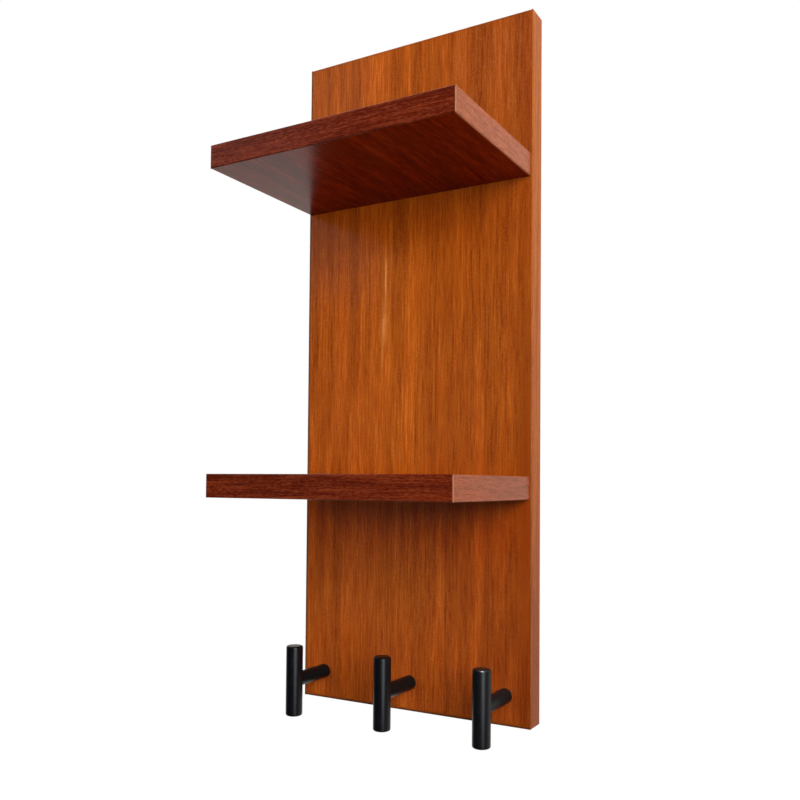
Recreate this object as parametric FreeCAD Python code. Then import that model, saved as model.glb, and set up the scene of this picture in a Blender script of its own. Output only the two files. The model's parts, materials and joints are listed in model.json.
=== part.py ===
import FreeCAD, Part
import math
import os

from FreeCAD import Placement, Rotation, Vector

# Wall shelf with two boards and three T-bar hooks, in millimetres.
# +Z is up, the front faces -Y, and the wall is the plane y = 0.
# The origin is the centre of the back panel's back face.

# Back panel, with its edge bands
panel_width = 200.0
panel_height = 526.0
panel_thickness = 18.0

# Edge bands of the panel and the shelves
band_thickness = 1.0
arris_radius = 0.8
arris_limit_share = 0.8

# Shelves, with their edge bands; heights are from the panel's lower edge to a shelf's underside
shelf_end_inset = 1.5
shelf_depth = 124.0
shelf_thickness = 17.0
upper_shelf_height = 402.0
lower_shelf_height = 165.0

# Countersunk screws that hold a shelf, driven from behind; the inset is from the shelf's end
shelf_screw_inset = 24.5
shelf_screw_diameter = 4.0
shelf_screw_head_diameter = 8.0
shelf_screw_reach = 32.0
shelf_screw_sink = 0.3

# Dowels between a shelf and the panel; the inset is from the shelf's end
dowel_inset = 62.5
dowel_diameter = 8.0
dowel_in_panel = 10.0
dowel_in_shelf = 20.0
dowel_end_gap = 1.0

# T-bar hooks; the height is from the panel's lower edge to the post's axis,
# and the inset from the panel's side to the outer hooks' axes
hook_side_inset = 20.0
hook_height = 22.0
hook_reach = 41.0
bar_diameter = 13.0
bar_length = 54.0
bar_end_chamfer = 1.0
post_diameter = 11.0
spigot_diameter = 5.0
spigot_length = 6.0
spigot_end_gap = 0.4

# Machine screws that hold the hooks, in counterbores in the panel's back
hook_screw_diameter = 4.0
hook_screw_reach = 11.0
hook_screw_end_gap = 2.0
hook_screw_head_diameter = 8.0
hook_screw_head_height = 2.8
counterbore_diameter = 10.0
counterbore_depth = 4.0

# Keyholes in the panel's back; the inset is from the panel's side to their axis,
# the drop from the panel's top to the round entry's centre, and the lip is what a wall screw's
# head slides behind
keyhole_side_inset = 40.0
keyhole_drop = 45.0
keyhole_entry_diameter = 10.0
keyhole_neck_width = 5.0
keyhole_rise = 10.0
keyhole_lip = 4.0
keyhole_depth = 10.0

# Gaps between a piece and its hole, on the radius
thread_gap = 0.03
dowel_gap = 0.05
spigot_gap = 0.03
saddle_gap = 0.03
shank_gap = 0.25

# How far a cutting shape runs past the face that it cuts
overrun = 2.0

up = Vector(0, 0, 1)
across = Vector(1, 0, 0)
forward = Vector(0, -1, 0)
backward = Vector(0, 1, 0)

panel_face = -panel_thickness
panel_foot = -panel_height / 2
panel_head = panel_height / 2
shelf_length = panel_width - 2 * shelf_end_inset
shelf_front = panel_face - shelf_depth
shelf_screw_offset = shelf_length / 2 - shelf_screw_inset
dowel_offset = shelf_length / 2 - dowel_inset
hook_offset = panel_width / 2 - hook_side_inset
hook_axis_z = panel_foot + hook_height
bar_axis_y = panel_face - hook_reach
bar_radius = bar_diameter / 2
post_radius = post_diameter / 2
keyhole_offset = panel_width / 2 - keyhole_side_inset
arris = min(arris_radius, band_thickness * arris_limit_share)

sides = {"left": -1, "right": 1}
shelf_undersides = {
    "upper": panel_foot + upper_shelf_height,
    "lower": panel_foot + lower_shelf_height,
}
hook_places = {"left": -hook_offset, "middle": 0.0, "right": hook_offset}


def write_node(name, shape):
    shape.exportStep(os.path.join("parts", name + ".step"))


def block(x_low, x_high, y_low, y_high, z_low, z_high):
    return Part.makeBox(x_high - x_low, y_high - y_low, z_high - z_low, Vector(x_low, y_low, z_low))


def drill(radius, depth, mouth, direction):
    """A cutting cylinder that starts outside the face, by the overrun."""
    return Part.makeCylinder(radius, depth + overrun, mouth - direction * overrun, direction)


def turned(points, place, direction):
    """A solid turned from (radius, distance) points, with its distances along the direction."""
    corners = [Vector(radius, 0, distance) for radius, distance in points]
    section = Part.Face(Part.makePolygon(corners + corners[:1]))
    solid = section.revolve(Vector(), up, 360)
    solid.Placement = Placement(place, Rotation(up, direction))
    return solid


# Edge bands

def rounded_face(width, start, sideways):
    """A band's outline at the start, from its glued face up, with rounded outer corners."""
    def point(place, height):
        return start + sideways * place + up * height

    half = width / 2
    flat = half - arris
    shoulder = band_thickness - arris
    bend = arris * (1 - math.sqrt(0.5))
    return Part.Face(Part.Wire([
        Part.makeLine(point(-half, 0), point(-half, shoulder)),
        Part.Arc(point(-half, shoulder), point(-half + bend, band_thickness - bend),
                 point(-flat, band_thickness)).toShape(),
        Part.makeLine(point(-flat, band_thickness), point(flat, band_thickness)),
        Part.Arc(point(flat, band_thickness), point(half - bend, band_thickness - bend),
                 point(half, shoulder)).toShape(),
        Part.makeLine(point(half, shoulder), point(half, 0)),
        Part.makeLine(point(half, 0), point(-half, 0)),
    ]))


def edge_band(length, width, centre, run, outward, covers_corners):
    """A band with rounded outer arrises, and rounded ends too where it covers a board's corners."""
    band = rounded_face(width, across * (-length / 2), backward).extrude(across * length)
    if covers_corners:
        ends = rounded_face(length, backward * (-width / 2), across).extrude(backward * width)
        band = band.common(ends)
    band.Placement = Placement(centre, Rotation(run, outward.cross(run), outward, "XZY"))
    return band


def panel_bands():
    side = panel_width / 2 - band_thickness
    top = panel_head - band_thickness
    bottom = panel_foot + band_thickness
    middle = panel_face / 2
    short = panel_width - 2 * band_thickness
    bands = {
        name: edge_band(panel_height, panel_thickness, Vector(sign * side, middle, 0), up, across * sign, True)
        for name, sign in sides.items()
    }
    bands["top"] = edge_band(short, panel_thickness, Vector(0, middle, top), across, up, False)
    bands["bottom"] = edge_band(short, panel_thickness, Vector(0, middle, bottom), across, -up, False)
    return bands


def shelf_bands(underside):
    side = shelf_length / 2 - band_thickness
    inner_front = shelf_front + band_thickness
    end_length = panel_face - inner_front
    end_middle = (panel_face + inner_front) / 2
    middle_z = underside + shelf_thickness / 2
    bands = {
        name: edge_band(end_length, shelf_thickness, Vector(sign * side, end_middle, middle_z),
                        backward, across * sign, False)
        for name, sign in sides.items()
    }
    front = Vector(0, inner_front, middle_z)
    bands["front"] = edge_band(shelf_length, shelf_thickness, front, across, forward, True)
    return bands


# Boards

def back_panel():
    side = panel_width / 2 - band_thickness
    board = block(-side, side, panel_face, 0, panel_foot + band_thickness, panel_head - band_thickness)
    cuts = []
    for underside in shelf_undersides.values():
        cuts += shelf_screw_holes(underside) + dowel_sockets(underside)
    for x in hook_places.values():
        cuts += hook_screw_hole(x)
    for sign in sides.values():
        cuts += keyhole(sign * keyhole_offset)
    return board.cut(cuts).removeSplitter()


def shelf_board(underside):
    side = shelf_length / 2 - band_thickness
    board = block(-side, side, shelf_front + band_thickness, panel_face, underside, underside + shelf_thickness)
    return board.cut(shelf_screw_bores(underside) + dowel_sockets(underside))


# Shelf screws

def shelf_screw_places(underside):
    """The centres of the heads' faces, a little below the panel's back."""
    z = underside + shelf_thickness / 2
    return [Vector(sign * shelf_screw_offset, -shelf_screw_sink, z) for sign in sides.values()]


def shelf_screws(underside):
    shank = shelf_screw_diameter / 2
    head = shelf_screw_head_diameter / 2
    length = panel_thickness - shelf_screw_sink + shelf_screw_reach
    points = [(0, 0), (head, 0), (shank, head - shank), (shank, length), (0, length)]
    return [turned(points, place, forward) for place in shelf_screw_places(underside)]


def shelf_screw_holes(underside):
    """Clearance holes through the panel, each with a countersink that runs on past its back."""
    shank = shelf_screw_diameter / 2 + shank_gap
    head = shelf_screw_head_diameter / 2 + shank_gap
    past = panel_thickness + overrun
    points = [(0, -overrun), (head + overrun, -overrun), (shank, head - shank), (shank, past), (0, past)]
    return [turned(points, place, forward) for place in shelf_screw_places(underside)]


def shelf_screw_bores(underside):
    """The threaded holes that the screws cut in a shelf's rear edge."""
    radius = shelf_screw_diameter / 2 + thread_gap
    return [
        drill(radius, shelf_screw_reach + thread_gap, Vector(place.x, panel_face, place.z), forward)
        for place in shelf_screw_places(underside)
    ]


# Dowels

def dowel_places(underside):
    """The dowels' inner ends, in the panel."""
    z = underside + shelf_thickness / 2
    return [Vector(sign * dowel_offset, panel_face + dowel_in_panel, z) for sign in sides.values()]


def dowels(underside):
    length = dowel_in_panel + dowel_in_shelf
    return [
        Part.makeCylinder(dowel_diameter / 2, length, place, forward)
        for place in dowel_places(underside)
    ]


def dowel_sockets(underside):
    """One cutting cylinder for each dowel, for the panel and the shelf alike."""
    radius = dowel_diameter / 2 + dowel_gap
    length = dowel_in_panel + dowel_in_shelf + 2 * dowel_end_gap
    return [
        Part.makeCylinder(radius, length, place + backward * dowel_end_gap, forward)
        for place in dowel_places(underside)
    ]


# T-bar hooks

def hook_bar(x):
    """An upright bar with chamfered ends and a blind cross bore for the post's spigot."""
    inner = bar_radius - bar_end_chamfer
    points = [
        (0, 0),
        (inner, 0),
        (bar_radius, bar_end_chamfer),
        (bar_radius, bar_length - bar_end_chamfer),
        (inner, bar_length),
        (0, bar_length),
    ]
    bar = turned(points, Vector(x, bar_axis_y, hook_axis_z - bar_length / 2), up)
    mouth = Vector(x, bar_axis_y + bar_radius, hook_axis_z)
    return bar.cut(drill(spigot_diameter / 2 + spigot_gap, spigot_length + spigot_end_gap, mouth, forward))


def hook_post(x):
    """A post with a saddle that fits the bar, a spigot that enters it and a threaded bore at its foot."""
    foot = Vector(x, panel_face, hook_axis_z)
    post = Part.makeCylinder(post_radius, hook_reach, foot, forward)
    bar_foot = Vector(x, bar_axis_y, hook_axis_z - bar_length / 2)
    post = post.cut(Part.makeCylinder(bar_radius + saddle_gap, bar_length, bar_foot))
    spigot_root = foot + forward * (hook_reach - bar_radius - post_radius)
    spigot = Part.makeCylinder(spigot_diameter / 2, post_radius + spigot_length, spigot_root, forward)
    bore = drill(hook_screw_diameter / 2 + thread_gap, hook_screw_reach + hook_screw_end_gap, foot, forward)
    return post.fuse(spigot).cut(bore)


def hook_screw(x):
    """A machine screw with a cylindrical head, which seats at distance zero."""
    shank = hook_screw_diameter / 2
    head = hook_screw_head_diameter / 2
    length = panel_thickness - counterbore_depth + hook_screw_reach
    points = [
        (0, -hook_screw_head_height),
        (head, -hook_screw_head_height),
        (head, 0),
        (shank, 0),
        (shank, length),
        (0, length),
    ]
    return turned(points, Vector(x, -counterbore_depth, hook_axis_z), forward)


def hook_screw_hole(x):
    """The counterbore and the clearance hole of one hook."""
    mouth = Vector(x, 0, hook_axis_z)
    return [
        drill(counterbore_diameter / 2, counterbore_depth, mouth, forward),
        drill(hook_screw_diameter / 2 + shank_gap, panel_thickness + overrun, mouth, forward),
    ]


# Keyholes

def upright_slot(width, x, z, start, end):
    """A slot with round ends that rises from the height z, from one depth in the panel to another."""
    radius = width / 2
    low_left = Vector(x - radius, -start, z)
    low_right = Vector(x + radius, -start, z)
    rise = up * keyhole_rise
    foot = Part.Arc(low_left, Vector(x, -start, z - radius), low_right).toShape()
    head = Part.Arc(low_right + rise, Vector(x, -start, z + radius) + rise, low_left + rise).toShape()
    right_edge = Part.makeLine(low_right, low_right + rise)
    left_edge = Part.makeLine(low_left + rise, low_left)
    return Part.Face(Part.Wire([foot, right_edge, head, left_edge])).extrude(forward * (end - start))


def keyhole(x):
    """A round entry, a narrow neck that rises from it and the wide track behind the neck's lip."""
    z = panel_head - keyhole_drop
    return [
        drill(keyhole_entry_diameter / 2, keyhole_depth, Vector(x, 0, z), forward),
        upright_slot(keyhole_neck_width, x, z, -overrun, keyhole_depth),
        upright_slot(keyhole_entry_diameter, x, z, keyhole_lip, keyhole_depth),
    ]


# Nodes

os.makedirs("parts", exist_ok=True)

write_node("back_panel", back_panel())
for edge, band in panel_bands().items():
    write_node("back_panel_band_" + edge, band)

for shelf, underside in shelf_undersides.items():
    write_node(shelf + "_shelf", shelf_board(underside))
    for edge, band in shelf_bands(underside).items():
        write_node(shelf + "_shelf_band_" + edge, band)
    write_node(shelf + "_shelf_screws", Part.makeCompound(shelf_screws(underside)))
    write_node(shelf + "_shelf_dowels", Part.makeCompound(dowels(underside)))

for side, x in hook_places.items():
    write_node("hook_bar_" + side, hook_bar(x))
    write_node("hook_post_" + side, hook_post(x))
write_node("hook_screws", Part.makeCompound([hook_screw(x) for x in hook_places.values()]))
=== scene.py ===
import bpy
import bmesh
import json
import math
from mathutils import Matrix, Vector

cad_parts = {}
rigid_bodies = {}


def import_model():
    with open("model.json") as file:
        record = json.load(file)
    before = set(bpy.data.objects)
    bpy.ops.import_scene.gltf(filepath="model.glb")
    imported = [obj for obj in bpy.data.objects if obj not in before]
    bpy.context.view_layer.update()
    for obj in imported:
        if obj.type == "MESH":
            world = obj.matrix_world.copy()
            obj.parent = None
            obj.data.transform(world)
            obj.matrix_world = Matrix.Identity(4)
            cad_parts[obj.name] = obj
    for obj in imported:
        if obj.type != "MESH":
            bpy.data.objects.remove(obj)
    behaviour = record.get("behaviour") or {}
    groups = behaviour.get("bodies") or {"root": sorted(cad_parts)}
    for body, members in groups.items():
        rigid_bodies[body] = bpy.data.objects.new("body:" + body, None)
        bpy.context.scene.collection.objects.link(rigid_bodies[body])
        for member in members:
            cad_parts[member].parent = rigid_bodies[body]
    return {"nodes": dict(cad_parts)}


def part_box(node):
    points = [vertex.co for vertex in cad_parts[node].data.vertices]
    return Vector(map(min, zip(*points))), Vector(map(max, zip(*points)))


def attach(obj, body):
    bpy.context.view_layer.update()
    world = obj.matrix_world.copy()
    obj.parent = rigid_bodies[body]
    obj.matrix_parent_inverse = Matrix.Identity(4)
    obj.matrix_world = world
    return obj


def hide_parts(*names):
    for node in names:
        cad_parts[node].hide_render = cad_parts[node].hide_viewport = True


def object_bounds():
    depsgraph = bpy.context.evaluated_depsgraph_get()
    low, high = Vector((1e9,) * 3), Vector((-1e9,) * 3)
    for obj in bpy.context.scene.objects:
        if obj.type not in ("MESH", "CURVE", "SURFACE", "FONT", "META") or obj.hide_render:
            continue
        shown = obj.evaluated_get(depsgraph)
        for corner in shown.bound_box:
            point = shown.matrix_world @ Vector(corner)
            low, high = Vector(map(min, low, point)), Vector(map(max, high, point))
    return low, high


# start from an empty scene
for startObject in list(bpy.data.objects):
    bpy.data.objects.remove(startObject)

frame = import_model()
nodes = frame["nodes"]
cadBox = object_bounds()
mm = 0.001
weldDistance = 0.001 * mm  # points closer than this become one
white = (1.0, 1.0, 1.0, 1.0)
print("frame:", len(nodes), "nodes, box", [round(v, 4) for corner in cadBox for v in corner])


# Node helpers

def feed(tree, node, inputs):
    # inputs holds a value or another node's socket under each socket's name or number
    for name, value in inputs.items():
        if isinstance(value, bpy.types.NodeSocket):
            tree.links.new(value, node.inputs[name])
        else:
            node.inputs[name].default_value = value


def addNode(tree, kind, inputs=None, **settings):
    node = tree.nodes.new("ShaderNode" + kind)
    for name, value in settings.items():
        setattr(node, name, value)
    feed(tree, node, inputs or {})
    return node


def mathNode(tree, operation, *values, clamp=False):
    node = addNode(tree, "Math", dict(enumerate(values)), operation=operation, use_clamp=clamp)
    return node.outputs[0]


def vectorMath(tree, operation, *values):
    return addNode(tree, "VectorMath", dict(enumerate(values)), operation=operation).outputs[0]


def inMillimetres(tree, vector):
    return vectorMath(tree, "MULTIPLY", vector, (1 / mm, 1 / mm, 1 / mm))


def splitAxes(tree, vector):
    return addNode(tree, "SeparateXYZ", {0: vector}).outputs


def noise(tree, vector, scale=1.0, detail=2.0, roughness=0.5):
    node = addNode(tree, "TexNoise", {"Vector": vector, "Scale": scale, "Detail": detail,
                                      "Roughness": roughness})
    return node.outputs[0]


def swing(tree, value, amount):
    # how far a noise lies from its middle, times an amount
    return mathNode(tree, "MULTIPLY", mathNode(tree, "SUBTRACT", value, 0.5), amount)


def smoothRange(tree, value, low, high, toLow=0.0, toHigh=1.0):
    node = addNode(tree, "MapRange", {0: value, 1: low, 2: high, 3: toLow, 4: toHigh},
                   interpolation_type="SMOOTHSTEP")
    return node.outputs[0]


def mixColor(tree, factor, first, second, blend="MIX"):
    node = addNode(tree, "Mix", {0: factor, 6: first, 7: second}, data_type="RGBA", blend_type=blend)
    return node.outputs[2]


def colorRamp(tree, value, stops):
    node = addNode(tree, "ValToRGB", {0: value})
    elements = node.color_ramp.elements
    for index, (place, color) in enumerate(stops):
        element = elements[index] if index < 2 else elements.new(place)  # a new ramp has two
        element.position = place
        element.color = (*color, 1.0)
    return node.outputs[0]


def newGroup(name, inputs, outputs):
    group = bpy.data.node_groups.new(name, "ShaderNodeTree")
    for label, kind, value in inputs:
        socket = group.interface.new_socket(label, in_out="INPUT", socket_type="NodeSocket" + kind)
        if value is not None:
            socket.default_value = value
    for label, kind in outputs:
        group.interface.new_socket(label, in_out="OUTPUT", socket_type="NodeSocket" + kind)
    return group, group.nodes.new("NodeGroupInput").outputs, group.nodes.new("NodeGroupOutput").inputs


def useGroup(tree, group, inputs):
    node = tree.nodes.new("ShaderNodeGroup")
    node.node_tree = group
    feed(tree, node, inputs)
    return node.outputs


def newMaterial(name):
    material = bpy.data.materials.new(name)
    material.use_nodes = True
    tree = material.node_tree
    tree.nodes.clear()
    shader = addNode(tree, "BsdfPrincipled")
    addNode(tree, "OutputMaterial", {"Surface": shader.outputs[0]})
    place = addNode(tree, "TexCoord").outputs["Object"]
    return material, tree, shader, place


def link(tree, output, shader, name):
    tree.links.new(output, shader.inputs[name])


def addBump(tree, shader, height, depth):
    # depth is in millimetres
    bump = addNode(tree, "Bump", {"Height": height, "Distance": depth * mm, "Strength": 1.0})
    link(tree, bump.outputs[0], shader, "Normal")


# Shared effects

grainShape = {
    "drift": (0.016, 0.016, 0.007),  # scale of the slow bend, per millimetre
    # start is a place in the noise, edges are the levels that fade from dark to light
    "streaks": {"start": 3.7, "detail": 2.0, "edges": (0.30, 0.70)},
    "lines": {"start": 17.3, "detail": 2.0, "edges": (0.28, 0.72)},
    "fibres": {"start": 63.1, "detail": 1.0, "edges": (0.28, 0.72)},
    "pores": {"start": 41.9, "detail": 1.0},
    "poreLimit": 0.74, "poreReach": 0.3, "poreSoftness": 0.06, "fibreHeight": 0.4,
}
edgeShape = {"noiseScale": 420.0, "noiseDetail": 3.0, "reach": 1.5, "bite": 2.0}  # shares of the width
smudgeShape = {"detail": 4.0, "roughness": 0.6}


def makeGrain():
    # wood figure that runs along Z; a size is across, across and along the grain, in millimetres
    group, given, made = newGroup("woodGrain", [
        ("Vector", "Vector", None), ("Wander", "Float", 1.5),
        ("Streak Size", "Vector", (4.0, 4.0, 90.0)), ("Line Size", "Vector", (1.2, 1.2, 14.0)),
        ("Fibre Size", "Vector", (0.6, 0.6, 8.0)), ("Pore Size", "Vector", (0.3, 0.3, 4.0)),
        ("Pore Share", "Float", 0.3), ("Streak Weight", "Float", 0.5), ("Line Weight", "Float", 0.6),
        ("Fibre Weight", "Float", 0.5), ("Grit Weight", "Float", 0.0),
    ], [("Tone", "Float"), ("Streaks", "Float"), ("Pores", "Float"), ("Height", "Float")])
    scaled = inMillimetres(group, given["Vector"])
    slow = noise(group, vectorMath(group, "MULTIPLY", scaled, grainShape["drift"]))
    drift = swing(group, slow, given["Wander"])
    bend = addNode(group, "CombineXYZ", {0: drift, 1: drift}).outputs[0]
    bent = vectorMath(group, "ADD", scaled, bend)

    def stretched(size, shape):
        start = (shape["start"], shape["start"], shape["start"])
        moved = vectorMath(group, "ADD", vectorMath(group, "DIVIDE", bent, given[size]), start)
        return noise(group, moved, detail=shape["detail"])

    def faded(size, shape):
        return smoothRange(group, stretched(size, shape), *shape["edges"])

    streaks = faded("Streak Size", grainShape["streaks"])
    lines = faded("Line Size", grainShape["lines"])
    fibres = faded("Fibre Size", grainShape["fibres"])
    specks = stretched("Pore Size", grainShape["pores"])
    more = mathNode(group, "MULTIPLY", given["Pore Share"], grainShape["poreReach"])
    limit = mathNode(group, "SUBTRACT", grainShape["poreLimit"], more)
    pores = smoothRange(group, specks, limit, mathNode(group, "ADD", limit, grainShape["poreSoftness"]))
    broad = mathNode(group, "ADD", swing(group, streaks, given["Streak Weight"]),
                     swing(group, lines, given["Line Weight"]))
    fine = mathNode(group, "ADD", swing(group, fibres, given["Fibre Weight"]),
                    swing(group, specks, given["Grit Weight"]))
    tone = mathNode(group, "ADD", mathNode(group, "ADD", broad, fine), 0.5, clamp=True)
    raised = mathNode(group, "MULTIPLY", fibres, grainShape["fibreHeight"])
    group.links.new(tone, made["Tone"])
    group.links.new(streaks, made["Streaks"])
    group.links.new(pores, made["Pores"])
    group.links.new(mathNode(group, "SUBTRACT", raised, pores), made["Height"])
    return group


def makeEdgeMask():
    # 1 along the edges of a box, given by its centre and half size, and broken up by noise
    group, given, made = newGroup("edgeMask", [
        ("Vector", "Vector", None), ("Centre", "Vector", None), ("Half Size", "Vector", None),
        ("Width", "Float", 0.5), ("Breakup", "Float", 0.5),
    ], [("Mask", "Float")])
    local = vectorMath(group, "ABSOLUTE", vectorMath(group, "SUBTRACT", given["Vector"], given["Centre"]))
    gap = splitAxes(group, vectorMath(group, "SUBTRACT", given["Half Size"], local))
    lower = mathNode(group, "MINIMUM", gap[0], gap[1])
    upper = mathNode(group, "MAXIMUM", gap[0], gap[1])
    # the middle one of the three gaps is small only near an edge
    middle = mathNode(group, "MAXIMUM", lower, mathNode(group, "MINIMUM", upper, gap[2]))
    rough = noise(group, given["Vector"], edgeShape["noiseScale"], edgeShape["noiseDetail"])
    broken = mathNode(group, "MULTIPLY", mathNode(group, "MULTIPLY", rough, given["Breakup"]),
                      edgeShape["bite"])
    width = mathNode(group, "MULTIPLY", given["Width"], mm)
    near = mathNode(group, "MULTIPLY", width, mathNode(group, "SUBTRACT", edgeShape["reach"], broken))
    group.links.new(smoothRange(group, middle, near, 0.0), made["Mask"])
    return group


def makeHandling():
    # soft smudges that only change the gloss; their size is in millimetres
    group, given, made = newGroup("handling", [
        ("Vector", "Vector", None), ("Smudge Size", "Float", 30.0), ("Amount", "Float", 0.1),
    ], [("Roughness", "Float")])
    size = addNode(group, "CombineXYZ", {axis: given["Smudge Size"] for axis in range(3)}).outputs[0]
    spread = vectorMath(group, "DIVIDE", inMillimetres(group, given["Vector"]), size)
    smudge = noise(group, spread, 1.0, smudgeShape["detail"], smudgeShape["roughness"])
    group.links.new(swing(group, smudge, given["Amount"]), made["Roughness"])
    return group


grainGroup = makeGrain()
edgeGroup = makeEdgeMask()
handlingGroup = makeHandling()
print("shared effects: grain, edge mask, handling")


# Wood; a size of streaks, lines, fibres or pores is across and along the grain, in millimetres

grainTurns = {"X": (0.0, -math.pi / 2, 0.0), "Y": (math.pi / 2, 0.0, 0.0), "Z": (0.0, 0.0, 0.0)}
woodFinish = {"breakup": 0.6, "smudgeSize": 35.0}  # the same on every wood

panelLook = {
    "colors": [(0.0, (0.230, 0.040, 0.0022)), (0.35, (0.325, 0.067, 0.0037)),
               (0.65, (0.395, 0.092, 0.0056)), (1.0, (0.520, 0.148, 0.0130))],
    "pore": (0.170, 0.028, 0.002), "poreShare": 0.55, "poreDepth": 0.12, "poreGloss": 0.12,
    "arrisColor": (0.17, 0.030, 0.004), "arrisDepth": 0.5, "arrisWidth": 1.1,
    "streak": (8.0, 160.0), "line": (1.6, 46.0), "fibre": (0.62, 14.0), "poreSize": (0.75, 1.6),
    "wander": 2.2, "grit": 0.65, "weights": (0.50, 0.42, 0.41), "tint": (1.0, 0.82, 0.66),
    "gloss": 0.16, "smudge": 0.05, "specular": 0.15, "bump": 0.006,
}
panelEdgeLook = {
    **panelLook,
    "colors": [(0.0, (0.330, 0.066, 0.004)), (0.5, (0.445, 0.104, 0.007)), (1.0, (0.570, 0.155, 0.016))],
    "pore": (0.270, 0.050, 0.005), "poreShare": 0.3,
    "arrisColor": (0.20, 0.075, 0.030), "arrisDepth": 0.65, "arrisWidth": 0.7,
    "streak": (2.2, 90.0), "line": (0.8, 40.0), "fibre": (0.4, 12.0),
    "weights": (0.6, 0.6, 0.5), "tint": (1.0, 0.95, 0.90),
    "gloss": 0.24, "specular": 0.04, "bump": 0.01,
}
darkEdgeLook = {  # the panel's left edge and foot have dark arrises
    **panelEdgeLook, "arrisColor": (0.080, 0.021, 0.006), "arrisDepth": 1.0, "arrisWidth": 1.8, "specular": 0.0,
}
shelfLook = {
    "colors": [(0.0, (0.110, 0.0030, 0.0002)), (0.5, (0.175, 0.0072, 0.0004)),
               (1.0, (0.280, 0.0220, 0.0024))],
    "pore": (0.050, 0.002, 0.001), "poreShare": 0.3, "poreDepth": 0.3, "poreGloss": 0.0,
    "arrisColor": (0.30, 0.09, 0.05), "arrisDepth": 0.25, "arrisWidth": 0.25,
    "streak": (13.0, 110.0), "line": (2.6, 36.0), "fibre": (1.0, 9.0), "poreSize": (0.8, 1.8),
    "wander": 9.0, "grit": 0.0, "weights": (0.56, 0.39, 0.42), "tint": (1.0, 0.85, 0.75),
    "gloss": 0.24, "smudge": 0.06, "specular": 0.108, "bump": 0.0012,
}
shelfFrontLook = {
    **shelfLook,
    "colors": [(0.0, (0.058, 0.0045, 0.0010)), (0.45, (0.108, 0.0108, 0.0018)),
               (1.0, (0.205, 0.0370, 0.0090))],
    "pore": (0.045, 0.005, 0.002), "poreShare": 0.2, "poreGloss": 0.12,
    "arrisColor": (0.040, 0.0060, 0.0030), "arrisDepth": 0.7, "arrisWidth": 0.5,
    "streak": (3.0, 70.0), "line": (0.95, 24.0), "fibre": (0.60, 3.6), "poreSize": (0.7, 1.6),
    "wander": 3.5, "weights": (0.34, 0.42, 0.52),
    "gloss": 0.20, "smudge": 0.05, "specular": 0.14, "bump": 0.006,
}
endGrainAndHighlight = {"depth": 0.8, "color": (0.36, 0.128, 0.054)}  # a lighter strip at both ends of a front band: its end grain, with a painted highlight on the rounded corner
# its lighter arrises are partly wear and partly a painted highlight on the rounded arris
shelfEndLook = {
    **shelfFrontLook,
    "colors": [(0.0, (0.220, 0.048, 0.013)), (0.5, (0.300, 0.073, 0.023)), (1.0, (0.390, 0.108, 0.042))],
    "pore": (0.18, 0.038, 0.014), "poreShare": 0.35,
    "arrisColor": (0.42, 0.150, 0.068), "arrisDepth": 0.40,
    "streak": (3.2, 44.0), "line": (1.2, 14.0), "fibre": (0.6, 5.0), "poreSize": (0.45, 0.9),
    "wander": 0.8, "weights": (0.40, 0.58, 0.56),
    "gloss": 0.26, "specular": 0.12, "bump": 0.01,
}
# painted light: the upper shelf's end bands are lighter and the lower's darker, as the light falls on them;
# the front bands differ a little in colour
paintedEndBandLight = {"upper": (1.17, 1.22, 1.30), "lower": (0.95, 0.93, 0.92)}
frontShades = {"upper": (0.97, 1.08, 1.75), "lower": (1.0, 1.0, 0.95)}
beechLook = {
    "colors": [(0.0, (0.46, 0.27, 0.13)), (0.5, (0.58, 0.36, 0.19)), (1.0, (0.68, 0.45, 0.26))],
    "pore": (0.30, 0.15, 0.07), "poreShare": 0.5, "poreDepth": 0.5, "poreGloss": 0.12,
    "arrisColor": (0.62, 0.42, 0.25), "arrisDepth": 0.3, "arrisWidth": 0.5,
    "streak": (1.6, 40.0), "line": (0.6, 12.0), "fibre": (0.3, 4.0), "poreSize": (0.18, 1.6),
    "wander": 1.0, "grit": 0.0, "weights": (0.4, 0.4, 0.4), "tint": (1.0, 0.95, 0.9),
    "gloss": 0.62, "smudge": 0.08, "specular": 0.35, "bump": 0.02,
}


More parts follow.
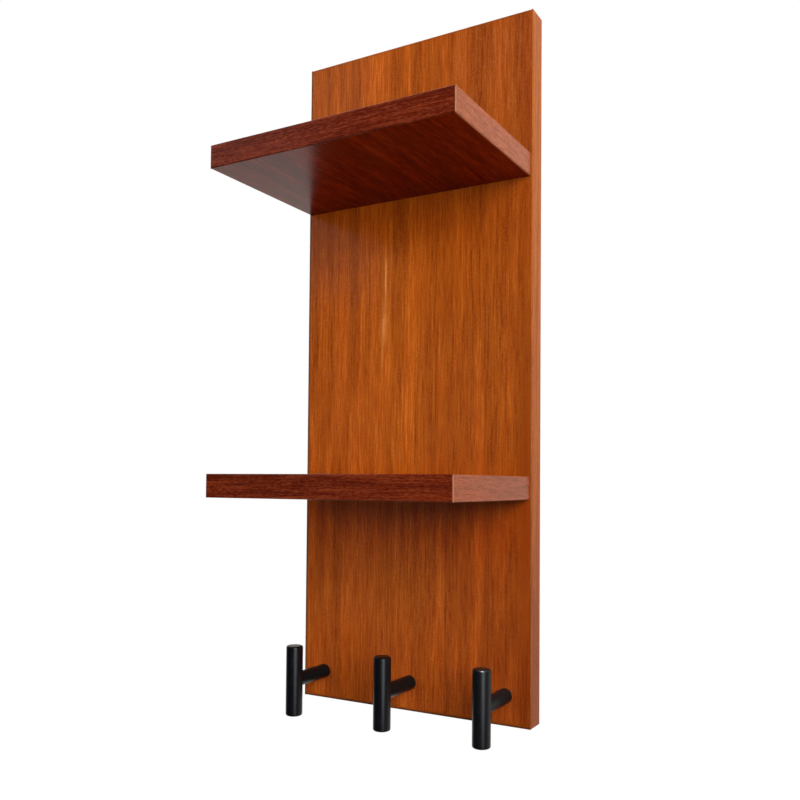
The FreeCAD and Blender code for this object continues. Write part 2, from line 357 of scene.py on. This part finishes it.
def woodMaterial(name, look, node, grainAxis, shade=(1.0, 1.0, 1.0)):
    low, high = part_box(node)
    material, tree, shader, place = newMaterial(name)
    alongGrain = addNode(tree, "Mapping", {"Vector": place, "Rotation": grainTurns[grainAxis]}).outputs[0]
    sizeKeys = {"Streak Size": "streak", "Line Size": "line", "Fibre Size": "fibre", "Pore Size": "poreSize"}
    sizes = {label: (look[key][0], look[key][0], look[key][1]) for label, key in sizeKeys.items()}
    weights = dict(zip(("Streak Weight", "Line Weight", "Fibre Weight"), look["weights"]))
    grain = useGroup(tree, grainGroup, {"Vector": alongGrain, "Wander": look["wander"],
                                        "Pore Share": look["poreShare"], "Grit Weight": look["grit"],
                                        **sizes, **weights})
    edges = useGroup(tree, edgeGroup, {"Vector": place, "Centre": (low + high) / 2,
                                       "Half Size": (high - low) / 2, "Width": look["arrisWidth"],
                                       "Breakup": woodFinish["breakup"]})
    handling = useGroup(tree, handlingGroup, {"Vector": place, "Smudge Size": woodFinish["smudgeSize"],
                                              "Amount": look["smudge"]})
    color = colorRamp(tree, grain["Tone"], look["colors"])
    color = mixColor(tree, grain["Streaks"], color, (*look["tint"], 1.0), "MULTIPLY")
    color = mixColor(tree, 1.0, color, (*shade, 1.0), "MULTIPLY")
    pores = mathNode(tree, "MULTIPLY", grain["Pores"], look["poreDepth"])
    color = mixColor(tree, pores, color, (*look["pore"], 1.0))
    # arris colour: wear and dark joints, and on the shelves' end bands also a painted highlight
    arrisShare = mathNode(tree, "MULTIPLY", edges["Mask"], look["arrisDepth"])
    color = mixColor(tree, arrisShare, color, (*look["arrisColor"], 1.0))
    roughness = mathNode(tree, "ADD", mathNode(tree, "ADD", handling["Roughness"], look["gloss"]),
                         mathNode(tree, "MULTIPLY", grain["Pores"], look["poreGloss"]))
    link(tree, color, shader, "Base Color")
    link(tree, roughness, shader, "Roughness")
    addBump(tree, shader, grain["Height"], look["bump"])
    shader.inputs["Specular IOR Level"].default_value = look["specular"]
    return {"material": material, "tree": tree, "shader": shader, "place": place, "color": color,
            "tone": grain["Tone"]}


def dress(node, material):
    for slot in nodes[node].material_slots:
        slot.material = material


coreLook = {"colors": [(0.3, (0.24, 0.13, 0.06)), (0.7, (0.46, 0.29, 0.15))],
            "chipSize": 2.2, "detail": 5.0, "roughness": 0.7, "skin": 0.05}
# figures of this veneer: places from the panel's middle and sizes, in millimetres
paleFigures = [
    {"place": (-24.4, 74.0), "size": (0.85, 18.0), "color": (0.68, 0.26, 0.050), "strength": 1.0},
    {"place": (-26.0, 42.0), "size": (2.2, 15.0), "color": (0.62, 0.21, 0.040), "strength": 0.8},
    {"place": (-27.6, 20.0), "size": (1.0, 14.0), "color": (0.58, 0.18, 0.028), "strength": 0.65},
]
darkFigures = [
    {"place": (95.0, -60.0), "size": (6.0, 170.0), "color": (0.16, 0.020, 0.001), "strength": 0.4},
    {"place": (-99.0, 0.0), "size": (1.2, 900.0), "color": (0.17, 0.050, 0.014), "strength": 0.85},
    {"place": (0.0, -262.0), "size": (900.0, 1.2), "color": (0.14, 0.040, 0.008), "strength": 0.75},
]
# broad shades multiply the veneer's colour: some are painted shade under the shelves and painted bluish
# sheen, the rest make it lighter or darker in places
broadShadesAndPaintedLight = [
    {"place": (-9.0, -70.0), "size": (22.0, 190.0), "factor": (1.17, 1.24, 1.10)},
    {"place": (-92.0, 20.0), "size": (26.0, 280.0), "factor": (0.93, 0.92, 0.95)},
    # painted bluish sheen at the top right, a little darker there
    {"place": (65.0, 240.0), "size": (70.0, 80.0), "factor": (0.91, 0.94, 2.2)},
    {"place": (97.0, -245.0), "size": (28.0, 60.0), "factor": (0.78, 0.70, 0.80)},
    # painted shadow under the upper shelf
    {"place": (15.0, 118.0), "size": (130.0, 24.0), "factor": (0.84, 0.77, 0.72)},
    # painted shade under the lower shelf, redder and less blue
    {"place": (0.0, -112.0), "size": (140.0, 32.0), "factor": (1.13, 0.82, 0.16)},
    # painted bluish sheen at the right
    {"place": (88.0, 85.0), "size": (40.0, 110.0), "factor": (1.04, 1.08, 1.6)},
    {"place": (-22.0, 240.0), "size": (36.0, 60.0), "factor": (1.11, 1.13, 1.15)},
    # painted bluish sheen at the foot
    {"place": (10.0, -255.0), "size": (150.0, 75.0), "factor": (1.03, 0.96, 1.8)},
    {"place": (94.5, 215.0), "size": (4.5, 110.0), "factor": (0.90, 0.80, 0.95)},
    {"place": (80.0, -152.0), "size": (40.0, 58.0), "factor": (0.93, 0.87, 0.98)},
]
# painted shade: the panel's right band darkens toward its foot, where less light falls
paintedBandFootShade = [{"place": (100.0, -290.0), "size": (300.0, 232.0), "factor": (0.58, 0.49, 0.63)}]


def spindle(tree, axes, figure):
    # a soft mask about a place, as long and as wide as its size
    reaches = [mathNode(tree, "DIVIDE", mathNode(tree, "SUBTRACT", axes[axis], at * mm), size * mm)
               for axis, at, size in zip((0, 2), figure["place"], figure["size"])]
    squares = [mathNode(tree, "POWER", mathNode(tree, "ABSOLUTE", reach), 2.0) for reach in reaches]
    return mathNode(tree, "EXPONENT", mathNode(tree, "MULTIPLY", mathNode(tree, "ADD", *squares), -1.0))


def shaded(tree, axes, color, shades):
    for shade in shades:
        color = mixColor(tree, spindle(tree, axes, shade), color, (*shade["factor"], 1.0), "MULTIPLY")
    return color


def figured(tree, axes, tone, color, figures):
    # each figure's mask is broken up by the grain's own tone, which is 0.5 in the mean
    for figure in figures:
        strength = mathNode(tree, "MULTIPLY", tone, figure["strength"] * 2)
        mask = mathNode(tree, "MULTIPLY", spindle(tree, axes, figure), strength, clamp=True)
        color = mixColor(tree, mask, color, (*figure["color"], 1.0))
    return color


def dressPanel():
    low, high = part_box("back_panel")
    wood = woodMaterial("panelVeneer", panelLook, "back_panel", "Z")
    tree = wood["tree"]
    axes = splitAxes(tree, wood["place"])
    # broad shades, with painted shade under the shelves and painted bluish sheen
    color = shaded(tree, axes, wood["color"], broadShadesAndPaintedLight)
    color = figured(tree, axes, wood["tone"], color, paleFigures + darkFigures)
    front = mathNode(tree, "LESS_THAN", axes[1], (low.y + high.y) / 2)
    color = mixColor(tree, front, wood["color"], color)
    # raw board shows inside the holes
    chips = noise(tree, inMillimetres(tree, wood["place"]), 1.0 / coreLook["chipSize"],
                  coreLook["detail"], coreLook["roughness"])
    core = colorRamp(tree, chips, coreLook["colors"])
    skin = coreLook["skin"] * mm
    inside = mathNode(tree, "MULTIPLY", mathNode(tree, "GREATER_THAN", axes[1], low.y + skin),
                      mathNode(tree, "LESS_THAN", axes[1], high.y - skin))
    link(tree, mixColor(tree, inside, color, core), wood["shader"], "Base Color")
    dress("back_panel", wood["material"])


def dressPanelBand(edge, grainAxis):
    band = "back_panel_band_" + edge
    look = darkEdgeLook if edge in ("left", "bottom") else panelEdgeLook
    wood = woodMaterial("panelEdge_" + edge, look, band, grainAxis)
    # painted shade toward the right band's foot
    if edge == "right":
        axes = splitAxes(wood["tree"], wood["place"])
        color = shaded(wood["tree"], axes, wood["color"], paintedBandFootShade)
        link(wood["tree"], color, wood["shader"], "Base Color")
    dress(band, wood["material"])


def dressShelfFront(shelf):
    band = shelf + "_shelf_band_front"
    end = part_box(band)[1].x
    wood = woodMaterial("front_" + band, shelfFrontLook, band, "X", frontShades[shelf])
    tree = wood["tree"]
    across = mathNode(tree, "ABSOLUTE", splitAxes(tree, wood["place"])[0])
    # end grain with a painted highlight at the band's ends
    depth = endGrainAndHighlight["depth"] * mm
    atEnd = smoothRange(tree, across, end - depth, end - depth / 2)
    color = mixColor(tree, atEnd, wood["color"], (*endGrainAndHighlight["color"], 1.0))
    link(tree, color, wood["shader"], "Base Color")
    dress(band, wood["material"])


dressPanel()
for edge, grainAxis in {"left": "Z", "right": "Z", "top": "X", "bottom": "X"}.items():
    dressPanelBand(edge, grainAxis)
for shelf in ("upper", "lower"):
    board = shelf + "_shelf"
    dress(board, woodMaterial("shelfVeneer_" + shelf, shelfLook, board, "Y")["material"])
    for edge in ("left", "right"):
        band = shelf + "_shelf_band_" + edge
        # painted light on the end bands: lighter on the upper shelf, darker on the lower
        wood = woodMaterial("shelfEdge_" + shelf + "_" + edge, shelfEndLook, band, "Y", paintedEndBandLight[shelf])
        dress(band, wood["material"])
    dressShelfFront(shelf)
print("wood: panel, shelves and edge bands dressed")


# Metal

blackLook = {
    "color": (0.0022, 0.0029, 0.0044), "bare": (0.0045, 0.0052, 0.0070), "roughness": 0.36,
    "specular": 0.20, "tint": (0.93, 0.92, 0.96, 1.0), "peelSize": 0.8, "peelDepth": 0.010,
    "patchScale": 0.11, "patchDetail": 4.0, "rubbed": (0.45, 0.8), "smudgeSize": 9.0, "smudge": 0.10,
}
postLook = {  # the bars' paint, bluer and duller on the posts: a painted counter to their orange reflection of the panel
    **blackLook, "color": (0.0022, 0.0052, 0.0068), "specular": 0.15, "tint": (0.45, 0.85, 1.0, 1.0),
}
zincLook = {
    "bright": (0.72, 0.74, 0.77), "dull": (0.50, 0.49, 0.44), "roughness": 0.32,
    "bloomScale": 0.5, "bloomDetail": 5.0, "bloom": (0.4, 0.7), "gritScale": 6.0, "gritDepth": 0.008,
    "smudgeSize": 3.0, "smudge": 0.25,
}


def handledRoughness(tree, shader, place, look):
    handling = useGroup(tree, handlingGroup, {"Vector": place, "Smudge Size": look["smudgeSize"],
                                              "Amount": look["smudge"]})
    link(tree, mathNode(tree, "ADD", handling["Roughness"], look["roughness"]), shader, "Roughness")


def makeBlackMetal(name, look):
    material, tree, shader, place = newMaterial(name)
    millimetres = inMillimetres(tree, place)
    patches = noise(tree, millimetres, look["patchScale"], look["patchDetail"])
    rubbed = smoothRange(tree, patches, *look["rubbed"])
    color = mixColor(tree, rubbed, (*look["color"], 1.0), (*look["bare"], 1.0))
    link(tree, color, shader, "Base Color")
    handledRoughness(tree, shader, place, look)
    addBump(tree, shader, noise(tree, millimetres, 1.0 / look["peelSize"]), look["peelDepth"])
    shader.inputs["Specular IOR Level"].default_value = look["specular"]
    shader.inputs["Specular Tint"].default_value = look["tint"]
    return material


def makeZincSteel(look):
    material, tree, shader, place = newMaterial("zincSteel")
    millimetres = inMillimetres(tree, place)
    clouds = noise(tree, millimetres, look["bloomScale"], look["bloomDetail"])
    bloom = smoothRange(tree, clouds, *look["bloom"])
    link(tree, mixColor(tree, bloom, (*look["bright"], 1.0), (*look["dull"], 1.0)), shader, "Base Color")
    handledRoughness(tree, shader, place, look)
    addBump(tree, shader, noise(tree, millimetres, look["gritScale"]), look["gritDepth"])
    shader.inputs["Metallic"].default_value = 1.0
    return material


barBlack = makeBlackMetal("barBlack", blackLook)
postBlack = makeBlackMetal("postBlack", postLook)
zincSteel = makeZincSteel(zincLook)
print("metal: black paint and zinc plate")


# Modelling helpers

def addToScene(name, data):
    thing = bpy.data.objects.new(name, data)
    bpy.context.scene.collection.objects.link(thing)
    return thing


def meshObject(name, bm):
    bmesh.ops.remove_doubles(bm, verts=bm.verts, dist=weldDistance)
    bmesh.ops.recalc_face_normals(bm, faces=bm.faces)
    mesh = bpy.data.meshes.new(name)
    bm.to_mesh(mesh)
    bm.free()
    return addToScene(name, mesh)


def finishPiece(name, bm, material, node, sharpAngle=35.0):
    piece = meshObject(name, bm)
    piece.data.shade_smooth()
    piece.data.set_sharp_from_angle(angle=math.radians(sharpAngle))
    piece.data.materials.append(material)
    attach(piece, "root")
    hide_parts(node)


def cutOut(body, cutter):
    # the body without the cutter's volume; both are used up
    target = meshObject("target", body)
    tool = meshObject("tool", cutter)
    cut = target.modifiers.new("cut", "BOOLEAN")
    cut.object = tool
    cut.solver = "EXACT"
    bpy.context.view_layer.update()
    mesh = bpy.data.meshes.new_from_object(target.evaluated_get(bpy.context.evaluated_depsgraph_get()))
    result = bmesh.new()
    result.from_mesh(mesh)
    for used in (target, tool):
        bpy.data.objects.remove(used)
    bpy.data.meshes.remove(mesh)
    return result


def rod(bm, radius, length, matrix, segments):
    # a closed cylinder along Z about the matrix's origin
    bmesh.ops.create_cone(bm, cap_ends=True, segments=segments, radius1=radius, radius2=radius,
                          depth=length, matrix=matrix)


def turned(points, steps):
    # a solid of revolution about Z; points are (radius, height) in millimetres, from the axis to the axis
    bm = bmesh.new()
    verts = [bm.verts.new((radius * mm, 0.0, height * mm)) for radius, height in points]
    edges = [bm.edges.new(pair) for pair in zip(verts, verts[1:])]
    bmesh.ops.spin(bm, geom=verts + edges, cent=(0, 0, 0), axis=(0, 0, 1), angle=2 * math.pi,
                   steps=steps, use_merge=True)
    bmesh.ops.remove_doubles(bm, verts=bm.verts, dist=weldDistance)
    return bm


threadShape = {"sinkShare": 0.3, "footShare": 0.3, "steps": 20}  # of the depth and of the pitch


def thread(bm, look, start, end):
    # a ridge wound round the core from one height to another, with its foot sunk into the core
    pitch = look["pitch"]
    turns = (end - start) / pitch
    foot = look["core"] - look["threadDepth"] * threadShape["sinkShare"]
    half = pitch * threadShape["footShare"]
    corners = [(foot, start - half), (look["core"] + look["threadDepth"], start), (foot, start + half)]
    verts = [bm.verts.new((radius * mm, 0.0, height * mm)) for radius, height in corners]
    ridge = bm.faces.new(verts)
    count = round(turns * threadShape["steps"])
    bmesh.ops.spin(bm, geom=[ridge], cent=(0, 0, 0), axis=(0, 0, 1), angle=2 * math.pi * turns,
                   dvec=(0, 0, (end - start) * mm / count), steps=count)


def cutCross(head, look):
    # two tapered blades, one after the other, cut the driver's cross into a head whose top is at height 0
    for across, along in ((look["blade"], look["cross"]), (look["cross"], look["blade"])):
        blade = bmesh.new()
        made = bmesh.ops.create_cube(blade, size=1.0)["verts"]
        bmesh.ops.scale(blade, vec=Vector((across, along, look["crossDepth"] * 2)) * mm, verts=made)
        tip = [v for v in made if v.co.z > 0]
        bmesh.ops.scale(blade, vec=Vector((look["taper"], look["taper"], 1.0)), verts=tip)
        head = cutOut(head, blade)
    return head


def repeated(bm, matrices):
    # the same shape at several places
    mesh = bpy.data.meshes.new("shape")
    bm.to_mesh(mesh)
    bm.free()
    result = bmesh.new()
    for matrix in matrices:
        known = len(result.verts)
        result.from_mesh(mesh)
        bmesh.ops.transform(result, matrix=matrix, verts=list(result.verts)[known:])
    bpy.data.meshes.remove(mesh)
    return result


# Hooks

hookLook = {"steps": 96, "endRound": 1.5, "roundSteps": 6, "spigotRadius": 2.5, "spigotLength": 6.0,
            "spigotGap": 0.4, "saddleGap": 0.03, "boreRadius": 1.97, "boreDepth": 13.0}


def makeHook(side):
    barLow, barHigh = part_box("hook_bar_" + side)
    postLow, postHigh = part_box("hook_post_" + side)
    barCentre = (barLow + barHigh) / 2
    barRadius = (barHigh.x - barLow.x) / 2
    barLength = barHigh.z - barLow.z
    postRadius = (postHigh.x - postLow.x) / 2
    crossing = Vector((barCentre.x, barCentre.y, (postLow.z + postHigh.z) / 2))
    reach = postHigh.y - crossing.y
    towardWall = Matrix.Rotation(-math.pi / 2, 4, "X")

    def upright(radius):
        made = bmesh.new()
        rod(made, radius, barLength, Matrix.Translation(barCentre), hookLook["steps"])
        return made

    def level(radius, near, far, into=None):
        # along Y, between two distances behind the bar's axis
        made = bmesh.new() if into is None else into
        middle = Matrix.Translation(crossing + Vector((0.0, (near + far) / 2, 0.0)))
        rod(made, radius, far - near, middle @ towardWall, hookLook["steps"])
        return made

    bar = upright(barRadius)
    caps = sorted(bar.faces, key=lambda face: len(face.verts))[-2:]
    rims = [edge for cap in caps for edge in cap.edges]
    bmesh.ops.bevel(bar, geom=rims, offset=hookLook["endRound"] * mm, offset_type="OFFSET", affect="EDGES",
                    segments=hookLook["roundSteps"], profile=0.5, material=-1)
    spigotRadius = hookLook["spigotRadius"] * mm
    spigotEnd = barRadius - hookLook["spigotLength"] * mm
    socket = level(spigotRadius, spigotEnd - hookLook["spigotGap"] * mm, barRadius * 2)
    finishPiece("hookBar_" + side, cutOut(bar, socket), barBlack, "hook_bar_" + side)

    post = cutOut(level(postRadius, 0.0, reach), upright(barRadius + hookLook["saddleGap"] * mm))
    bore = level(hookLook["boreRadius"] * mm, reach - hookLook["boreDepth"] * mm, reach * 2)
    post = level(spigotRadius, spigotEnd, barRadius + postRadius, into=cutOut(post, bore))
    finishPiece("hookPost_" + side, post, postBlack, "hook_post_" + side)


for side in ("left", "middle", "right"):
    makeHook(side)
print("hooks: three bars and posts")


# Screws and dowels; their lengths come from the frame

woodScrewLook = {
    "count": 2, "headRadius": 4.0, "rim": 0.25, "neck": 2.3, "radius": 2.0, "smooth": 14.0,
    "smoothEnd": 1.7, "runOut": 1.0, "core": 1.35, "tip": 4.0, "pitch": 1.8, "threadDepth": 0.65,
    "steps": 48, "blade": 0.9, "cross": 4.3, "crossDepth": 1.8, "taper": 0.45,
}
hookScrewLook = {
    "count": 3, "headRadius": 4.0, "headHeight": 2.8, "crown": 0.7, "crownSteps": 5, "endChamfer": 0.5,
    "core": 1.62, "pitch": 0.7, "threadDepth": 0.36,
    "steps": 48, "blade": 0.9, "cross": 4.4, "crossDepth": 1.9, "taper": 0.45,
}
dowelLook = {"count": 2, "flutes": 20, "flutePoints": 3, "fluteShare": 0.92, "chamfer": 0.9,
             "sharpAngle": 25.0}

frontward = Matrix.Rotation(math.pi / 2, 4, "X")  # turns Z to -Y


def fixingPlaces(node, radius, count):
    # a row along X that fills the node's box, each turned to the front
    low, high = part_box(node)
    first = low.x + radius
    step = (high.x - radius - first) / (count - 1)
    height = (low.z + high.z) / 2
    return [Matrix.Translation((first + step * index, high.y, height)) @ frontward for index in range(count)]


def lengthOf(node):
    low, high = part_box(node)
    return high.y - low.y


def makeShelfScrews(shelf, look):
    node = shelf + "_shelf_screws"
    length = lengthOf(node) / mm
    shaft = turned([
        (0.0, 0.0), (look["headRadius"], 0.0), (look["headRadius"], look["rim"]),
        (look["radius"], look["neck"]), (look["smoothEnd"], look["smooth"]),
        (look["core"], look["smooth"] + look["runOut"]), (look["core"], length - look["tip"]), (0.0, length),
    ], look["steps"])
    shaft = cutCross(shaft, look)
    thread(shaft, look, look["smooth"], length - look["tip"])
    screws = repeated(shaft, fixingPlaces(node, look["headRadius"] * mm, look["count"]))
    finishPiece(shelf + "ShelfScrews", screws, zincSteel, node)


def makeHookScrews(look):
    length = lengthOf("hook_screws") / mm
    radius, height, crown, core = (look[key] for key in ("headRadius", "headHeight", "crown", "core"))
    turns = [math.pi / 2 * step / look["crownSteps"] for step in range(look["crownSteps"] + 1)]
    dome = [(radius - crown * (1 - math.sin(turn)), crown * (1 - math.cos(turn))) for turn in turns]
    shaft = turned([
        (0.0, 0.0), *dome, (radius, height), (core, height), (core, length - look["endChamfer"]),
        (core - look["endChamfer"], length), (0.0, length),
    ], look["steps"])
    shaft = cutCross(shaft, look)
    thread(shaft, look, height + look["pitch"], length - look["pitch"])
    screws = repeated(shaft, fixingPlaces("hook_screws", radius * mm, look["count"]))
    finishPiece("hookScrews", screws, zincSteel, "hook_screws")


def makeDowels(shelf, look):
    node = shelf + "_shelf_dowels"
    low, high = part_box(node)
    radius = (high.z - low.z) / 2
    chamfer = look["chamfer"] * mm
    narrow = 1 - chamfer / radius
    bm = bmesh.new()
    bmesh.ops.create_circle(bm, cap_ends=True, segments=look["flutes"] * look["flutePoints"], radius=radius)
    for groove in list(bm.verts)[::look["flutePoints"]]:
        groove.co *= look["fluteShare"]
    bmesh.ops.scale(bm, vec=Vector((narrow, narrow, 1.0)), verts=bm.verts)
    end = [*bm.verts, *bm.edges, *bm.faces]
    for rise, size in ((chamfer, 1 / narrow), (lengthOf(node) - 2 * chamfer, 1.0), (chamfer, narrow)):
        end = bmesh.ops.extrude_face_region(bm, geom=end)["geom"]
        verts = [item for item in end if isinstance(item, bmesh.types.BMVert)]
        bmesh.ops.translate(bm, vec=Vector((0.0, 0.0, rise)), verts=verts)
        bmesh.ops.scale(bm, vec=Vector((size, size, 1.0)), verts=verts)
    dowels = repeated(bm, fixingPlaces(node, radius, look["count"]))
    beech = woodMaterial("beech_" + shelf, beechLook, node, "Y")["material"]
    finishPiece(shelf + "ShelfDowels", dowels, beech, node, look["sharpAngle"])


for shelf in ("upper", "lower"):
    makeShelfScrews(shelf, woodScrewLook)
    makeDowels(shelf, dowelLook)
makeHookScrews(hookScrewLook)
print("fixings: shelf screws, dowels and hook screws")


# Stage, light and camera; lengths are in metres

studio = {
    "floorDrop": 0.32,  # below the object's lowest point
    "floorSize": 8.0, "floorNear": 0.6, "floorFar": 1.2, "floorLift": 0.40,
    "floorColor": (0.9, 0.9, 0.9, 1.0), "floorRoughness": 0.8,
    "front": 0.03, "above": 0.70, "behind": 1.0, "tint": (1.0, 0.97, 0.90, 1.0),  # the pale surroundings
    "horizon": (-0.05, 0.25), "zenith": (0.5, 0.8),  # where they turn from dark to bright
}
# a lamp with gloss False isn't mirrored, and one with diffuse False shows only as gloss
lamps = {
    "key": {"turn": 41.0, "distance": 1.5, "height": 0.38, "width": 0.7, "rise": 0.8, "power": 23.5},
    "fillLow": {"turn": -30.0, "distance": 0.8, "height": -0.08, "width": 0.4, "rise": 0.6, "power": 1.80,
                "gloss": False, "tint": (1.0, 0.88, 0.76)},
    "fillHigh": {"turn": -44.0, "distance": 0.9, "height": 0.50, "width": 0.4, "rise": 0.5, "power": 0.5},
    "glint": {"turn": 46.0, "distance": 1.5, "height": -0.30, "width": 0.66, "rise": 0.9, "power": 14.0,
              "diffuse": False},
    "rim": {"turn": 41.0, "distance": 0.75, "height": 1.06, "tilt": 60.0, "width": 0.3, "rise": 0.3,
            "power": 120.0, "diffuse": False},
}
view = {
    "place": (0.3278, -0.6043, -0.0869), "turn": (91.644, -0.470, 29.935),
    "lens": 38.67, "sensor": 36.0, "shiftUp": 0.0737, "near": 0.01,
}


def makeWorld():
    world = bpy.data.worlds.new("studio")
    bpy.context.scene.world = world
    world.use_nodes = True
    tree = world.node_tree
    tree.nodes.clear()
    direction = splitAxes(tree, addNode(tree, "TexCoord").outputs["Generated"])
    behind = smoothRange(tree, direction[1], *studio["horizon"], studio["front"], studio["behind"])
    above = smoothRange(tree, direction[2], *studio["zenith"], 0.0, studio["above"])
    level = mathNode(tree, "MAXIMUM", behind, above)
    path = addNode(tree, "LightPath").outputs
    seen = mathNode(tree, "MAXIMUM", path["Is Camera Ray"], path["Is Transmission Ray"])
    level = addNode(tree, "Mix", {0: seen, 2: level, 3: 1.0}, data_type="FLOAT").outputs[0]
    color = mixColor(tree, seen, studio["tint"], white)
    sky = addNode(tree, "Background", {"Color": color, "Strength": level})
    addNode(tree, "OutputWorld", {"Surface": sky.outputs[0]})


def makeFloor():
    # the camera sees it lifted nearby, where it holds the shadow, and plain white far off
    bm = bmesh.new()
    bmesh.ops.create_grid(bm, x_segments=1, y_segments=1, size=studio["floorSize"])
    bmesh.ops.translate(bm, vec=Vector((0, 0, cadBox[0].z - studio["floorDrop"])), verts=bm.verts)
    mesh = bpy.data.meshes.new("floor")
    bm.to_mesh(mesh)
    bm.free()
    floor = addToScene("floor", mesh)
    material, tree, shader, place = newMaterial("paleFloor")
    shader.inputs["Base Color"].default_value = studio["floorColor"]
    shader.inputs["Roughness"].default_value = studio["floorRoughness"]
    shader.inputs["Emission Color"].default_value = white
    camera = addNode(tree, "LightPath").outputs["Is Camera Ray"]
    link(tree, mathNode(tree, "MULTIPLY", camera, studio["floorLift"]), shader, "Emission Strength")
    distance = addNode(tree, "VectorMath", {0: place}, operation="LENGTH").outputs["Value"]
    far = smoothRange(tree, distance, studio["floorNear"], studio["floorFar"])
    glow = addNode(tree, "Emission", {"Color": white, "Strength": 1.0})
    surface = addNode(tree, "MixShader", {0: mathNode(tree, "MULTIPLY", camera, far),
                                          1: shader.outputs[0], 2: glow.outputs[0]})
    tree.links.new(surface.outputs[0], tree.nodes["Material Output"].inputs["Surface"])
    mesh.materials.append(material)
    floor.visible_diffuse = False
    floor.visible_glossy = False


def makeLamp(name, look):
    # a softbox; its turn is counted from the front toward the right, its tilt downward
    turn = math.radians(look["turn"])
    lamp = bpy.data.lights.new(name, "AREA")
    lamp.shape = "RECTANGLE"
    lamp.size = look["width"]
    lamp.size_y = look["rise"]
    lamp.energy = look["power"]
    lamp.color = look.get("tint", white[:3])
    holder = addToScene(name, lamp)
    holder.location = (look["distance"] * math.sin(turn), -look["distance"] * math.cos(turn), look["height"])
    holder.rotation_euler = (math.pi / 2 - math.radians(look.get("tilt", 0.0)), 0.0, turn)
    holder.visible_glossy = look.get("gloss", True)
    holder.visible_diffuse = look.get("diffuse", True)


def makeCamera():
    camera = bpy.data.cameras.new("camera")
    camera.lens = view["lens"]
    camera.sensor_width = view["sensor"]
    camera.shift_y = view["shiftUp"]
    camera.clip_start = view["near"]
    holder = addToScene("camera", camera)
    holder.location = view["place"]
    holder.rotation_euler = [math.radians(angle) for angle in view["turn"]]
    bpy.context.scene.camera = holder


makeWorld()
makeFloor()
for lampName, lampLook in lamps.items():
    makeLamp(lampName, lampLook)
makeCamera()
bpy.context.scene.view_settings.view_transform = "Standard"
print("stage: floor, lamps, camera")
